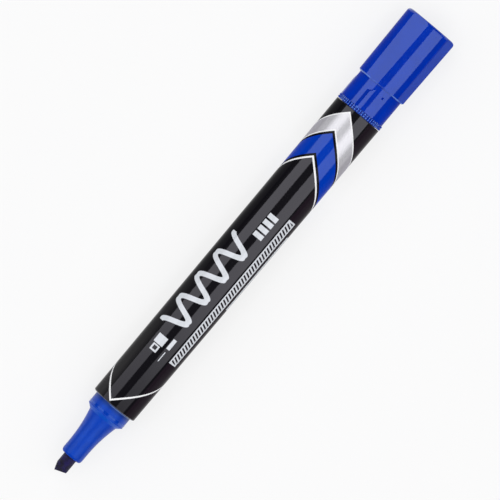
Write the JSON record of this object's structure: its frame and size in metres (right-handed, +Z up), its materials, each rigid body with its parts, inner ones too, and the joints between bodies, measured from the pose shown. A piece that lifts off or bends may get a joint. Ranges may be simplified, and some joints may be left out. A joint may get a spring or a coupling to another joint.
{
  "type": "permanent marker",
  "caption": "Permanent marker lying on its side: chisel felt nib, tapered barrel with printed chevrons, and a ribbed push-on cap posted on its tail.",
  "frame": {"origin": "centre of the bounding box's bottom face: the cap's lowest line rests on z = 0, halfway along the marker", "axes": "+X along the marker from the nib to the cap's closed end, +Z up, +Y across it"},
  "size_m": [0.1618, 0.0164, 0.0164],
  "materials": {
    "black_plastic": "glossy black polypropylene with printed chevrons",
    "satin_blue_plastic": "satin moulded blue",
    "inked_felt": "pressed felt soaked with dark ink",
    "inked_fibre": "fibre bundle soaked with ink",
    "clear_film": "thin smooth film",
    "blue_plastic": "glossy moulded blue",
    "milky_plastic": "natural milky polyethylene"
  },
  "bodies": {
    "marker": {"barrel": "black_plastic", "nib_holder": "satin_blue_plastic", "nib": "inked_felt", "ink_reservoir": "inked_fibre", "reservoir_film": "clear_film", "tail_plug": "blue_plastic"},
    "cap": {"cap": "blue_plastic", "inner_cap": "milky_plastic"}
  },
  "joints": [
    {"name": "cap_pull", "type": "slide", "parent": "marker", "child": "cap", "axis": [1, 0, 0], "range_m": [0, 0.035]}
  ]
}
